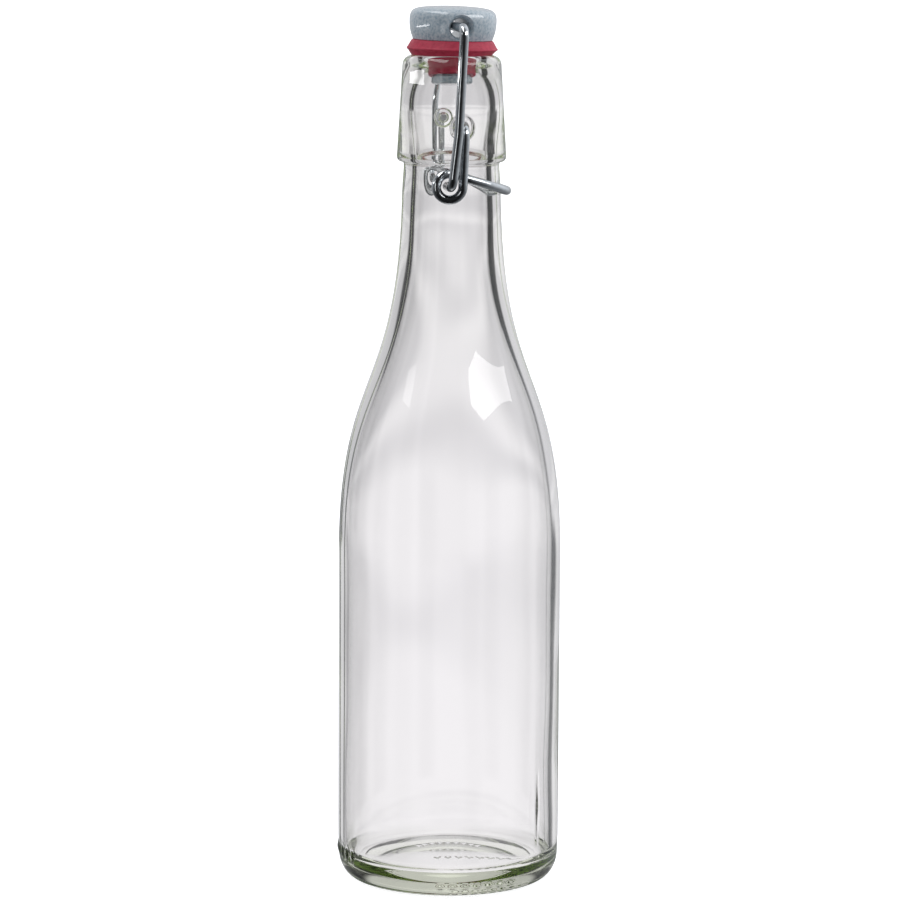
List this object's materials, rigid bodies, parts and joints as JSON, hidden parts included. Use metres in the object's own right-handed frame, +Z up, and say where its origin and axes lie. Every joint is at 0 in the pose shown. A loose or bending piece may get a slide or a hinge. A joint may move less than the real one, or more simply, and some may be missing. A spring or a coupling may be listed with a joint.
{
  "type": "swing-top bottle",
  "caption": "Clear glass bottle with a long tapered shoulder, closed by a glazed porcelain stopper and a red rubber gasket on a hinged wire bail with an over-centre lever.",
  "frame": {"origin": "centre of the base, on the surface the bottle stands on", "axes": "+Z up the bottle's axis, +X from the axis towards the handle of the lever, Y along the hinge axes of the closure"},
  "size_m": [0.07, 0.07, 0.2757],
  "materials": {
    "clear_glass": "clear moulded soda-lime glass, faintly green where it is thick",
    "bright_wire": "bright drawn spring-steel wire",
    "porcelain": "glossy white glaze",
    "red_rubber": "satin moulded rubber"
  },
  "bodies": {
    "bottle": {"bottle": "clear_glass"},
    "lever": {"lever_wire": "bright_wire"},
    "yoke": {"yoke_wire": "bright_wire"},
    "stopper": {"stopper": "porcelain", "gasket": "red_rubber"}
  },
  "joints": [
    {"name": "lever_swing", "type": "hinge", "parent": "bottle", "child": "lever", "pos_m": [0, 0, 0.239], "axis": [0, -1, 0], "range_deg": [0, 105], "deforming": ["gasket"]},
    {"name": "yoke_swing", "type": "hinge", "parent": "lever", "child": "yoke", "pos_m": [-0.0047, 0, 0.2209], "axis": [0, -1, 0], "range_deg": [-70, 0]},
    {"name": "stopper_swivel", "type": "hinge", "parent": "yoke", "child": "stopper", "pos_m": [-0.0011, 0, 0.2697], "axis": [0, -1, 0], "range_deg": [-36, 0]}
  ],
  "couplings": [
    {"joint": "yoke_swing", "follows": "lever_swing", "ratio": -0.658},
    {"joint": "stopper_swivel", "follows": "lever_swing", "ratio": -0.342}
  ]
}
